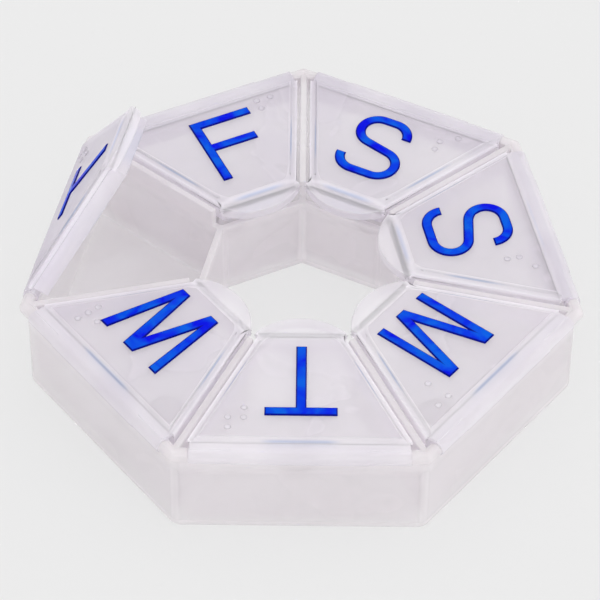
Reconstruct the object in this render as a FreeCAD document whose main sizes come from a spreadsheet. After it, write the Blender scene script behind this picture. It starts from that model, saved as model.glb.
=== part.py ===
"""Weekly pill organizer: a seven-sided ring tray, a hinged lid for each day and its raised letter.

The ring stands on XY with its centre at the origin and +Z up. Every moulding is drawn in a sector
frame, whose X points outward through the middle of one side, and is then turned to its own side.
"""
import FreeCAD, Part
import math
import os
import re

import Sketcher

DAYS = ("tuesday", "monday", "sunday", "saturday", "friday", "thursday", "wednesday")
GLYPHS = {"tuesday": "T", "monday": "M", "sunday": "S", "saturday": "S", "friday": "F",
          "thursday": "T", "wednesday": "W"}
BRAILLE_CELLS = {"T": (2, 3, 4, 5), "M": (1, 3, 4), "S": (2, 3, 4), "F": (1, 2, 4),
                 "W": (2, 4, 5, 6)}
SECTOR = 360 / len(DAYS)
HALF = SECTOR / 2

# Driving dimensions in millimetres and degrees.
SIZES = {
    # The ring: corner radii, walls and the dividers, which set its depth.
    "ring_radius": 60.0,
    "hole_radius": 22.04,
    "corner_radius": 3.0,
    "floor_thickness": 1.5,
    "outer_wall": 1.4,
    "inner_wall": 1.5,
    "divider_wall": 1.5,
    "divider_height": 23.4,
    "divider_setback": 2.46,
    "first_azimuth": -90.0,
    # The hinge: its axis, the barrel and pins on the lid, and the knuckles on the tray.
    "hinge_inset": 0.06,
    "hinge_drop": 1.1,
    "barrel_radius": 1.7,
    "barrel_clearance": 0.35,
    "swell_height": 0.15,
    "swell_half_length": 14.0,
    "pin_radius": 0.65,
    "pin_length": 1.5,
    "pin_clearance": 0.06,
    "knuckle_radius": 1.4,
    "knuckle_length": 3.15,
    "end_clearance": 0.25,
    # The lid: rim, raised plateau, thumb tab and plug skirt.
    "rim_rise": 0.75,
    "rim_thickness": 1.0,
    "rim_gap": 1.45,
    "rim_setback": 2.66,
    "tab_overhang": 2.757,
    "tab_corner_setback": 1.443,
    "tab_gap": 0.592,
    "tab_root_setback": 2.5,
    "lip_drop": 1.15,
    "lip_thickness": 0.9,
    "plateau_rise": 0.6,
    "plateau_setback": 3.083,
    "plateau_margin": 2.89,
    "plateau_gap": 2.95,
    "bevel_run": 1.9,
    "bevel_side_run": 0.45,
    "plate_thickness": 1.0,
    "skirt_depth": 3.65,
    "skirt_gap": 1.75,
    "skirt_clearance": 0.35,
    "skirt_wall": 1.2,
    # The marks: raised letters and braille dots.
    "letter_height": 0.35,
    "cap_height": 19.2,
    "stroke_width": 2.25,
    "t_width": 15.1,
    "f_width": 14.3,
    "f_arm": 12.6,
    "f_arm_height": 9.3,
    "m_width": 15.5,
    "m_shoulder": 3.25,
    "m_foot": 2.6,
    "m_notch": 3.9,
    "w_width": 19.4,
    "w_shoulder": 2.4,
    "w_apex": 3.3,
    "w_foot": 2.6,
    "w_foot_spacing": 9.8,
    "w_notch": 4.5,
    "w_fork": 14.5,
    "s_bowl": 3.95,
    "s_upper_left": 1.55,
    "s_lower_right": 2.4,
    "s_top_run": 2.7,
    "s_foot_run": 4.75,
    "dot_radius": 0.6,
    "dot_height": 0.25,
    "dot_pitch": 2.65,
    "dot_cell": 3.3,
    "dot_margin": 5.76,
    # Each letter's foot, out from the hole's face, and its shift to the left of the lid's middle.
    "tuesday_foot": 6.04,
    "tuesday_side": 0.15,
    "monday_foot": 6.34,
    "monday_side": 0.4,
    "sunday_foot": 7.54,
    "sunday_side": 1.1,
    "saturday_foot": 8.34,
    "saturday_side": 0.3,
    "friday_foot": 8.34,
    "friday_side": -1.6,
    "thursday_foot": 6.04,
    "thursday_side": 0.15,
    "wednesday_foot": 5.84,
    "wednesday_side": -1.9,
    # Where each letter's dots start, to the right of the lid's middle.
    "tuesday_dots": 11.6,
    "monday_dots": 11.6,
    "sunday_dots": 9.5,
    "saturday_dots": 11.6,
    "friday_dots": 11.6,
    "thursday_dots": 11.6,
    "wednesday_dots": 11.6,
    # How far each lid is open, in degrees.
    "tuesday_open": 0.0,
    "monday_open": 0.0,
    "sunday_open": 0.0,
    "saturday_open": 0.0,
    "friday_open": 0.0,
    "thursday_open": 61.0,
    "wednesday_open": 0.0,
}


def beside(out, gap):
    """Half the width at distance out that leaves gap to the divider's middle plane."""
    return f"({out} * tan({HALF}) - {gap} / cos({HALF}))"


# Distances out from the ring's centre that follow from the sizes, in the sector frame.
RING_FACE = f"(ring_radius * cos({HALF}))"
HOLE_FACE = f"(hole_radius * cos({HALF}))"
CELL_INNER = f"({HOLE_FACE} + inner_wall)"
CELL_OUTER = f"({RING_FACE} - outer_wall)"
HINGE_OUT = f"({RING_FACE} - hinge_inset)"
RIM_END = f"({RING_FACE} - rim_setback)"
PLATEAU_INNER = f"({HOLE_FACE} + plateau_setback)"
PLATEAU_OUTER = f"({RING_FACE} - plateau_margin)"
SKIRT_INNER = f"({CELL_INNER} + skirt_clearance)"
SKIRT_OUTER = f"({CELL_OUTER} - skirt_clearance)"
DOT_OUT = f"({RING_FACE} - dot_margin)"

# Heights that follow from the sizes.
HINGE_HEIGHT = "(divider_height - hinge_drop)"
WALL_HEIGHT = f"({HINGE_HEIGHT} - barrel_radius - swell_height - barrel_clearance)"
RIM_TOP = "(divider_height + rim_rise)"
RIM_BOTTOM = f"({RIM_TOP} - rim_thickness)"
PLATEAU_TOP = f"({RIM_TOP} + plateau_rise)"
HOLLOW_TOP = f"({PLATEAU_TOP} - plate_thickness)"
SKIRT_BOTTOM = f"({RIM_BOTTOM} - skirt_depth)"
INNER_HEIGHT = f"({SKIRT_BOTTOM} - skirt_clearance)"

# The hinge's parts along its axis, from the side's middle to the ring's corner.
KNUCKLE_END = f"({HINGE_OUT} * tan({HALF}))"
KNUCKLE_START = f"({KNUCKLE_END} - knuckle_length)"
BARREL_HALF = f"({KNUCKLE_START} - end_clearance)"

# The thumb tab's arc, through its tip and its two corners.
TAB_TIP = f"({HOLE_FACE} - tab_overhang)"
TAB_CORNER = f"({HOLE_FACE} + tab_corner_setback)"
TAB_SIDE = beside(TAB_CORNER, "tab_gap")
TAB_ROOT = f"({HOLE_FACE} + tab_root_setback)"
TAB_DEPTH = f"({TAB_CORNER} - {TAB_TIP})"
TAB_RADIUS = f"(({TAB_SIDE} ^ 2 + {TAB_DEPTH} ^ 2) / (2 * {TAB_DEPTH}))"
TAB_CENTRE = f"({TAB_TIP} + {TAB_RADIUS})"


def bound(text):
    """The expression with every size name pointed at the sheet."""
    return re.sub(r"[a-z]+(?:_[a-z]+)+", r"Sizes.\g<0>", str(text))


def make_sheet(doc):
    """The spreadsheet that holds every driving dimension."""
    sheet = doc.addObject("Spreadsheet::Sheet", "Sizes")
    for row, (name, value) in enumerate(SIZES.items(), start=1):
        sheet.set(f"A{row}", name)
        sheet.set(f"B{row}", str(value))
        sheet.setAlias(f"B{row}", name)
    doc.recompute()


def new_body(doc, label, placement):
    """A body named after its piece and placed by an expression."""
    body = doc.addObject("PartDesign::Body", label)
    body.Label = label
    body.setExpression("Placement", bound(placement))
    return body


def origin_part(body, role):
    """The plane or axis of the body's own origin that has this role."""
    return next(part for part in body.Origin.OriginFeatures if part.Role == role)


def new_sketch(body, name, offset="0", role="XY_Plane"):
    """A sketch on one of the body's origin planes, moved along its normal by offset."""
    sketch = body.newObject("Sketcher::SketchObject", name)
    sketch.AttachmentSupport = [(origin_part(body, role), "")]
    sketch.MapMode = "FlatFace"
    sketch.setExpression("AttachmentOffset.Base.z", bound(offset))
    return sketch


def bind(sketch, kind, target, expression):
    """Add a dimension to the sketch and bind it to an expression."""
    expression = bound(expression)
    value = float(sketch.evalExpression(expression))
    index = sketch.addConstraint(Sketcher.Constraint(kind, *target, value))
    sketch.setExpression(f"Constraints[{index}]", expression)


def pin_point(sketch, side, vertex, corner):
    """Bind a point of the sketch to a pair of coordinate expressions."""
    bind(sketch, "DistanceX", (-1, 1, side, vertex), corner[0])
    bind(sketch, "DistanceY", (-1, 1, side, vertex), corner[1])


def arc_between(start, end, radius, turn):
    """The minor arc from start to end, which turns left for turn +1 and right for -1."""
    chord = end - start
    rise = math.sqrt(max(radius ** 2 - (chord.Length / 2) ** 2, 0.0))
    normal = FreeCAD.Vector(-chord.y, chord.x, 0).normalize()
    centre = (start + end) / 2 + normal * rise * turn
    first, last = (start, end) if turn > 0 else (end, start)
    angles = [math.atan2(point.y - centre.y, point.x - centre.x) for point in (first, last)]
    circle = Part.Circle(centre, FreeCAD.Vector(0, 0, 1), radius)
    return Part.ArcOfCircle(circle, angles[0], angles[1])


def draw_outline(sketch, corners, arcs=None):
    """Draw a closed outline through corners, each a pair of coordinate expressions.

    arcs maps a corner's number to (radius, turn) where the side that leaves it is a minor arc.
    """
    arcs = arcs or {}
    points = []
    for corner in corners:
        values = [float(sketch.evalExpression(bound(value))) for value in corner]
        points.append(FreeCAD.Vector(*values, 0))
    sides = []
    for number, start in enumerate(points):
        end = points[(number + 1) % len(points)]
        if number in arcs:
            radius, turn = arcs[number]
            size = float(sketch.evalExpression(bound(radius)))
            side = sketch.addGeometry(arc_between(start, end, size, turn))
            sides.append((side, 1, 2) if turn > 0 else (side, 2, 1))
        else:
            sides.append((sketch.addGeometry(Part.LineSegment(start, end)), 1, 2))
    for number, (side, start_vertex, _) in enumerate(sides):
        previous, _, end_vertex = sides[number - 1]
        sketch.addConstraint(
            Sketcher.Constraint("Coincident", previous, end_vertex, side, start_vertex))
        pin_point(sketch, side, start_vertex, corners[number])
    for number, (radius, _) in arcs.items():
        bind(sketch, "Radius", (sides[number][0],), radius)


def draw_circle(sketch, centre, radius):
    """Draw a circle whose centre is a pair of coordinate expressions."""
    middle = [float(sketch.evalExpression(bound(value))) for value in centre]
    size = float(sketch.evalExpression(bound(radius)))
    circle = Part.Circle(FreeCAD.Vector(*middle, 0), FreeCAD.Vector(0, 0, 1), size)
    side = sketch.addGeometry(circle)
    pin_point(sketch, side, 3, centre)
    bind(sketch, "Radius", (side,), radius)


def extrude(body, kind, sketch, length, reverse=False, symmetric=False):
    """A Pad or Pocket of the sketch."""
    feature = body.newObject(f"PartDesign::{kind}", f"{sketch.Name}{kind}")
    feature.Profile = sketch
    feature.setExpression("Length", bound(length))
    feature.Reversed = reverse
    if symmetric:
        feature.SideType = "Symmetric"
    return feature


def repeat_around(body, name, originals):
    """Repeat the features once for every side of the ring."""
    pattern = body.newObject("PartDesign::PolarPattern", name)
    pattern.Originals = originals
    pattern.Axis = (origin_part(body, "Z_Axis"), [""])
    pattern.Angle = 360
    pattern.Occurrences = len(DAYS)
    body.Tip = pattern
    return pattern


def polygon(radius):
    """Corners of the seven-sided outline with this corner radius."""
    turns = [HALF + number * SECTOR for number in range(len(DAYS))]
    return [(f"{radius} * cos({turn})", f"{radius} * sin({turn})") for turn in turns]


def wedge(inner, outer, gap):
    """Corners of the outline between two distances out that leaves gap to the dividers' middles."""
    near = beside(inner, gap)
    far = beside(outer, gap)
    return [(inner, f"-{near}"), (outer, f"-{far}"), (outer, far), (inner, near)]


def make_tray(doc):
    """The tray: ring, seven cells, stepped wall tops and a pair of knuckles at every corner."""
    tray = new_body(doc, "base_tray", "placement(vector(0; 0; 0); rotation(first_azimuth; 0; 0))")

    outline = new_sketch(tray, "RingOutline")
    draw_outline(outline, polygon("ring_radius"))
    draw_outline(outline, polygon("hole_radius"))
    ring = extrude(tray, "Pad", outline, "divider_height")
    doc.recompute()

    corners = tray.newObject("PartDesign::Fillet", "OuterCorners")
    corners.Base = (ring, outer_corner_edges(ring))
    corners.setExpression("Radius", bound("corner_radius"))

    cell = new_sketch(tray, "Cell", "floor_thickness")
    draw_outline(cell, wedge(CELL_INNER, CELL_OUTER, "divider_wall / 2"))
    cell_cut = extrude(tray, "Pocket", cell, "divider_height", reverse=True)
    repeat_around(tray, "Cells", [cell_cut])

    # The outer wall is lower between the knuckles, under the hinge barrel.
    rim = new_sketch(tray, "WallTop", WALL_HEIGHT)
    low, high = f"-{KNUCKLE_START}", KNUCKLE_START
    inside = f"({CELL_OUTER} - outer_wall)"
    draw_outline(rim, [(inside, low), ("ring_radius", low), ("ring_radius", high), (inside, high)])
    rim_cut = extrude(tray, "Pocket", rim, "divider_height", reverse=True)
    repeat_around(tray, "WallTops", [rim_cut])

    # The inner wall and the dividers' inner ends are lower, under the thumb tabs.
    inner = new_sketch(tray, "InnerTop", INNER_HEIGHT)
    draw_circle(inner, ("0", "0"), "hole_radius + divider_setback")
    extrude(tray, "Pocket", inner, "divider_height", reverse=True)

    knuckles = []
    sockets = []
    for side, sign in (("Left", -1), ("Right", 1)):
        start = f"{sign} * {KNUCKLE_START}"
        knuckle = new_sketch(tray, f"{side}Knuckle", start, "XZ_Plane")
        draw_circle(knuckle, (HINGE_OUT, HINGE_HEIGHT), "knuckle_radius")
        knuckles.append(extrude(tray, "Pad", knuckle, "knuckle_length", reverse=sign < 0))
    elbow = tray.newObject("PartDesign::AdditiveSphere", "Elbow")
    elbow.AttachmentSupport = [(origin_part(tray, "XY_Plane"), "")]
    elbow.MapMode = "FlatFace"
    elbow.setExpression("AttachmentOffset.Base.x", bound(HINGE_OUT))
    elbow.setExpression("AttachmentOffset.Base.y", bound(KNUCKLE_END))
    elbow.setExpression("AttachmentOffset.Base.z", bound(HINGE_HEIGHT))
    elbow.setExpression("Radius", bound("knuckle_radius"))
    knuckles.append(elbow)
    repeat_around(tray, "Knuckles", knuckles)

    for side, sign in (("Left", -1), ("Right", 1)):
        start = f"{sign} * {KNUCKLE_START}"
        socket = new_sketch(tray, f"{side}Socket", start, "XZ_Plane")
        draw_circle(socket, (HINGE_OUT, HINGE_HEIGHT), "pin_radius + pin_clearance")
        sockets.append(extrude(tray, "Pocket", socket, "pin_length", reverse=sign > 0))
    repeat_around(tray, "Sockets", sockets)
    return tray


def outer_corner_edges(ring):
    """Names of the ring's upright edges at its outer corners."""
    radius = float(ring.evalExpression(bound("ring_radius")))
    names = []
    for number, edge in enumerate(ring.Shape.Edges, start=1):
        ends = [vertex.Point for vertex in edge.Vertexes]
        upright = all(abs(math.hypot(end.x, end.y) - radius) < 0.01 for end in ends)
        if upright and abs(ends[0].z - ends[1].z) > 1:
            names.append(f"Edge{number}")
    return names


def lid_placement(number, day):
    """Where a lid and its letter sit: turned to their side and opened about the hinge."""
    turn = f"first_azimuth + {number * SECTOR}"
    return (f"placement(vector(0; 0; 0); rotation({turn}; 0; 0))"
            f" * placement(vector({HINGE_OUT}; 0; {HINGE_HEIGHT}); rotation(0; {day}_open; 0))"
            f" * placement(vector(-{HINGE_OUT}; 0; -{HINGE_HEIGHT}); rotation(0; 0; 0))")


def make_lid(doc, number, day):
    """One lid: rim with thumb tab, bevelled plateau, plug skirt, barrel, pins and dots."""
    lid = new_body(doc, f"lid_{day}", lid_placement(number, day))
    title = day.capitalize()

    left = [(TAB_CORNER, TAB_SIDE), (TAB_ROOT, beside(TAB_ROOT, "rim_gap")),
            (RIM_END, beside(RIM_END, "rim_gap")), (RIM_END, BARREL_HALF),
            (HINGE_OUT, BARREL_HALF)]
    right = [(out, f"-{side}") for out, side in left]
    rim = new_sketch(lid, f"{title}Rim", RIM_BOTTOM)
    draw_outline(rim, right + left[::-1], {len(left) * 2 - 1: (TAB_RADIUS, 1)})
    extrude(lid, "Pad", rim, "rim_thickness")

    foot = new_sketch(lid, f"{title}PlateauFoot", RIM_TOP)
    foot_gap = "(plateau_gap - bevel_side_run)"
    draw_outline(foot, wedge(f"({PLATEAU_INNER} - bevel_run)", f"({PLATEAU_OUTER} + bevel_run)",
                             foot_gap))
    top = new_sketch(lid, f"{title}PlateauTop", PLATEAU_TOP)
    draw_outline(top, wedge(PLATEAU_INNER, PLATEAU_OUTER, "plateau_gap"))
    plateau = lid.newObject("PartDesign::AdditiveLoft", f"{title}Plateau")
    plateau.Profile = foot
    plateau.Sections = [top]
    plateau.Ruled = True

    plug = new_sketch(lid, f"{title}Plug", SKIRT_BOTTOM)
    draw_outline(plug, wedge(SKIRT_INNER, SKIRT_OUTER, "skirt_gap"))
    extrude(lid, "Pad", plug, "skirt_depth")
    hollow = new_sketch(lid, f"{title}Hollow", SKIRT_BOTTOM)
    draw_outline(hollow, wedge(f"({SKIRT_INNER} + skirt_wall)", f"({SKIRT_OUTER} - skirt_wall)",
                               "(skirt_gap + skirt_wall)"))
    extrude(lid, "Pocket", hollow, f"{HOLLOW_TOP} - {SKIRT_BOTTOM}", reverse=True)

    lip = new_sketch(lid, f"{title}Lip", f"{RIM_BOTTOM} - lip_drop")
    inner_radius = f"({TAB_RADIUS} - lip_thickness)"
    inner_side = f"sqrt({inner_radius} ^ 2 - ({TAB_CENTRE} - {TAB_CORNER}) ^ 2)"
    draw_outline(lip, [(TAB_CORNER, TAB_SIDE), (TAB_CORNER, f"-{TAB_SIDE}"),
                       (TAB_CORNER, f"-{inner_side}"), (TAB_CORNER, inner_side)],
                 {0: (TAB_RADIUS, 1), 2: (inner_radius, -1)})
    extrude(lid, "Pad", lip, "lip_drop")

    # The barrel, its thicker middle and the pin through both are one axis' three turnings.
    turnings = (("Barrel", "barrel_radius", BARREL_HALF),
                ("Swell", "barrel_radius + swell_height", "swell_half_length"),
                ("Pin", "pin_radius", f"{BARREL_HALF} + pin_length"))
    for name, radius, half_length in turnings:
        turning = new_sketch(lid, f"{title}{name}", role="XZ_Plane")
        draw_circle(turning, (HINGE_OUT, HINGE_HEIGHT), radius)
        extrude(lid, "Pad", turning, f"2 * ({half_length})", symmetric=True)

    dots = new_sketch(lid, f"{title}Dots", PLATEAU_TOP)
    for dot in BRAILLE_CELLS[GLYPHS[day]]:
        column, row = divmod(dot - 1, 3)
        place = (f"{DOT_OUT} - {row} * dot_pitch", f"-({day}_dots + {column} * dot_cell)")
        draw_circle(dots, place, "dot_radius")
    extrude(lid, "Pad", dots, "dot_height")
    return lid


def glyph_t():
    """Corners of a T as (right, up) expressions from the middle of its foot."""
    bar, stem, under = "t_width / 2", "stroke_width / 2", "cap_height - stroke_width"
    right = [(stem, "0"), (stem, under), (bar, under), (bar, "cap_height")]
    return right + mirror(right), {}


def glyph_f():
    """Corners of an F: a stem at the left and two arms."""
    left, right, arm = "-f_width / 2", "f_width / 2", "f_arm - f_width / 2"
    stem = "stroke_width - f_width / 2"
    return [(left, "0"), (stem, "0"), (stem, "f_arm_height"), (arm, "f_arm_height"),
            (arm, "f_arm_height + stroke_width"), (stem, "f_arm_height + stroke_width"),
            (stem, "cap_height - stroke_width"), (right, "cap_height - stroke_width"),
            (right, "cap_height"), (left, "cap_height")], {}


def glyph_m():
    """Corners of an M whose diagonals meet at the foot."""
    side, inside = "m_width / 2", "(m_width / 2 - stroke_width)"
    shoulder = "(m_width / 2 - m_shoulder)"
    join = f"({inside} - m_foot / 2) * (cap_height - m_notch) / {shoulder}"
    right = [("m_foot / 2", "0"), (inside, join), (inside, "0"), (side, "0"),
             (side, "cap_height"), (shoulder, "cap_height")]
    return right + [("0", "m_notch")] + mirror(right), {}


def glyph_w():
    """Corners of a W whose middle reaches the cap height."""
    foot_out, foot_in = "(w_foot_spacing + w_foot) / 2", "(w_foot_spacing - w_foot) / 2"
    right = [(foot_in, "0"), (foot_out, "0"), ("w_width / 2", "cap_height"),
             ("w_width / 2 - w_shoulder", "cap_height"), ("w_foot_spacing / 2", "w_notch"),
             ("w_apex / 2", "cap_height")]
    return [("0", "w_fork")] + right + mirror(right), {}


def glyph_s():
    """Corners and arcs of an S: two bowls, a sloping spine and a hook at each end."""
    outer, inner = "(s_bowl + stroke_width / 2)", "(s_bowl - stroke_width / 2)"
    high, low = f"(cap_height - {outer})", outer
    across, along = "(s_upper_left + s_lower_right)", f"({high} - {low})"
    slope = f"(acos(2 * s_bowl / hypot({across}; {along})) - atan({across} / {along}))"
    upper, lower = ("-s_upper_left", high), ("s_lower_right", low)
    head, tail = ("s_top_run - s_upper_left", high), ("s_lower_right - s_foot_run", low)

    def off(centre, radius, right, up):
        return (f"{centre[0]} + {radius} * ({right})", f"{centre[1]} + {radius} * ({up})")

    def edge(above, below):
        return [off(head, above, 1, 0), off(head, above, 0, 1), off(upper, above, 0, 1),
                off(upper, above, f"-sin({slope})", f"-cos({slope})"),
                off(lower, below, f"sin({slope})", f"cos({slope})"), off(lower, below, 0, -1),
                off(tail, below, 0, -1), off(tail, below, -1, 0)]

    corners = edge(outer, inner) + edge(inner, outer)[::-1]
    arcs = {0: (outer, 1), 2: (outer, 1), 4: (inner, -1), 6: (inner, -1),
            8: (outer, 1), 10: (outer, 1), 12: (inner, -1), 14: (inner, -1)}
    return corners, arcs


def mirror(right):
    """The same corners on the glyph's left, in the order that closes the outline."""
    return [(f"-({across})", up) for across, up in right[::-1]]


GLYPH_OUTLINES = {"T": glyph_t, "F": glyph_f, "M": glyph_m, "W": glyph_w, "S": glyph_s}


def make_letter(doc, number, day):
    """The raised letter on a lid's plateau, its top towards the hinge."""
    letter = new_body(doc, f"letter_{day}", lid_placement(number, day))
    corners, arcs = GLYPH_OUTLINES[GLYPHS[day]]()
    outline = new_sketch(letter, f"{day.capitalize()}Letter", PLATEAU_TOP)
    placed = [(f"{HOLE_FACE} + {day}_foot + {up}", f"{day}_side - ({right})")
              for right, up in corners]
    draw_outline(outline, placed, arcs)
    extrude(letter, "Pad", outline, "letter_height")
    return letter


def check(doc, pieces):
    """Stop if any object failed to recompute or any piece isn't one valid solid."""
    failed = [item.Name for item in doc.Objects if {"Invalid", "Error"} & set(item.State)]
    if failed:
        raise RuntimeError(f"failed objects: {failed}")
    for piece in pieces:
        shape = piece.Shape
        if shape.isNull() or not shape.isValid() or len(shape.Solids) != 1:
            raise RuntimeError(f"{piece.Label} isn't one valid solid")


def main():
    """Build every piece, check it and write its STEP file."""
    os.makedirs("parts", exist_ok=True)
    doc = FreeCAD.newDocument("PillOrganizer")
    make_sheet(doc)
    pieces = [make_tray(doc)]
    for number, day in enumerate(DAYS):
        pieces.append(make_lid(doc, number, day))
        pieces.append(make_letter(doc, number, day))
    doc.recompute()
    check(doc, pieces)
    for piece in pieces:
        piece.Shape.exportStep(f"parts/{piece.Label}.step")
        print(f"{piece.Label}: {piece.Shape.Volume:.1f} mm3")


main()
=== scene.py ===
"""Weekly ring pill organizer: milky moulded tray and lids, thick glossy blue initials, pale studio.

Every moulding is modelled in millimetres in the frame of its own side, whose X points outward
through the middle of that side, and is then turned to its side and opened about its hinge.
"""
import logging
import math
from collections.abc import Callable, Iterable
from dataclasses import dataclass
from enum import Enum

import bmesh
import bpy
from bmesh.types import BMesh, BMEdge, BMFace, BMVert
from bpy.types import Material, Node, NodeSocket, NodeTree, Object
from mathutils import Matrix, Vector


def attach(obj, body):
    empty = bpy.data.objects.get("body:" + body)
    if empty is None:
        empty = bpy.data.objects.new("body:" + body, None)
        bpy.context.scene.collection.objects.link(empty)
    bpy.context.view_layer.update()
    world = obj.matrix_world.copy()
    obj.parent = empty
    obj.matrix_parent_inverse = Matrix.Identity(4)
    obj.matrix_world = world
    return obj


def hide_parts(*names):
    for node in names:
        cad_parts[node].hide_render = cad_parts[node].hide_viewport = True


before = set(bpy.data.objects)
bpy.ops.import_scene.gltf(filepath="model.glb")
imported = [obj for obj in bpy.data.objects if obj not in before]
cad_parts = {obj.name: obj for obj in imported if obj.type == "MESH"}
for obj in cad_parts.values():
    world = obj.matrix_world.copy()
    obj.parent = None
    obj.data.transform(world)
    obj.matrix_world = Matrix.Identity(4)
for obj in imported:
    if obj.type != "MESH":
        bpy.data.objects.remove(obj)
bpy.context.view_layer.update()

Pair = tuple[float, float]
Triple = tuple[float, float, float]

LOG = logging.getLogger("pill_organizer")

MM = 0.001
WELD = 1e-4
SEAM_WELD = 0.002
SEAM_GAP = 0.01
PLAN_SPAN = 100.0
END_ROUND = 0.08
END_STEPS = 3
LEVEL = 0.5
UPRIGHT = 0.1
TILTED = 0.2
CORNER_BEND = math.radians(30)
FOOT_BEND = math.radians(5)
SHARP_EDGE = math.radians(38)
FLAT_WEIGHT = 90
# Where the soft patches of painted sheen fade in.
PAINTED_SHEEN_EDGE = (0.57, 0.61)


class Day(Enum):
    """The lids in their order round the ring, with each initial's braille cell.

    A closing 0 is no dot. It keeps two days with one initial apart.
    """

    TUESDAY = (2, 3, 4, 5)
    MONDAY = (1, 3, 4)
    SUNDAY = (2, 3, 4, 0)
    SATURDAY = (2, 3, 4)
    FRIDAY = (1, 2, 4)
    THURSDAY = (2, 3, 4, 5, 0)
    WEDNESDAY = (2, 4, 5, 6)

    @property
    def label(self) -> str:
        """The day's name as the nodes spell it."""
        return self.name.lower()

    @property
    def dots(self) -> tuple[int, ...]:
        """The raised dots of the braille cell."""
        return tuple(dot for dot in self.value if dot)


@dataclass(frozen=True)
class RingPlan:
    """The ring's plan in millimetres, in the frame of one side."""

    sides: int = 7
    first_azimuth: float = -math.pi / 2
    ring_radius: float = 60.0
    hole_radius: float = 22.04
    corner_radius: float = 3.15
    outer_wall: float = 1.4
    inner_wall: float = 1.5
    divider_half: float = 0.75
    floor: float = 1.5
    inner_height: float = 19.15
    wall_height: float = 20.1
    divider_height: float = 23.4
    divider_start: float = 24.5
    hinge_out: float = 53.998
    hinge_height: float = 22.3
    knuckle_start: float = 22.85
    knuckle_end: float = 26.004

    @property
    def half(self) -> float:
        """Half the angle that one side takes."""
        return math.pi / self.sides

    @property
    def ring_face(self) -> float:
        """Distance out of the ring's outer face."""
        return self.ring_radius * math.cos(self.half)

    @property
    def hole_face(self) -> float:
        """Distance out of the hole's face."""
        return self.hole_radius * math.cos(self.half)

    @property
    def cell_inner(self) -> float:
        """Distance out of the cell's inner face."""
        return self.hole_face + self.inner_wall

    @property
    def cell_outer(self) -> float:
        """Distance out of the cell's outer face."""
        return self.ring_face - self.outer_wall

    def beside(self, out: float, gap: float) -> float:
        """Half the width, at a distance out, that leaves a gap to the divider's middle plane."""
        return out * math.tan(self.half) - gap / math.cos(self.half)

    def side_normal(self, sign: int) -> Vector:
        """The normal, away from the cell, of the divider's plane on one side."""
        return Vector((-math.sin(self.half), sign * math.cos(self.half), 0))

    def gap(self, point: Vector) -> float:
        """The distance from a point in the side's frame to the nearer divider's middle plane."""
        return min(-self.side_normal(sign).dot(point) for sign in (-1, 1))

    def turn(self, number: int) -> Matrix:
        """The turn from a side's frame to its place in the ring."""
        return Matrix.Rotation(self.first_azimuth + 2 * self.half * number, 4, "Z")

    def opened(self, angle: float) -> Matrix:
        """The turn about the hinge that opens a lid by an angle in radians."""
        hinge = Vector((self.hinge_out, 0, self.hinge_height))
        return (Matrix.Translation(hinge) @ Matrix.Rotation(angle, 4, "Y")
                @ Matrix.Translation(-hinge))


PLAN = RingPlan()
OPEN_DEGREES = 61.0
SUNDAY_DOTS = 9.5
# Painted shade that deepens each lid's colour by its own amount.
LID_PAINTED_SHADE = {Day.TUESDAY: 0.0, Day.MONDAY: 0.05, Day.SUNDAY: 0.4, Day.SATURDAY: 0.4,
             Day.FRIDAY: 0.4, Day.THURSDAY: 0.6, Day.WEDNESDAY: 0.3}


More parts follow.
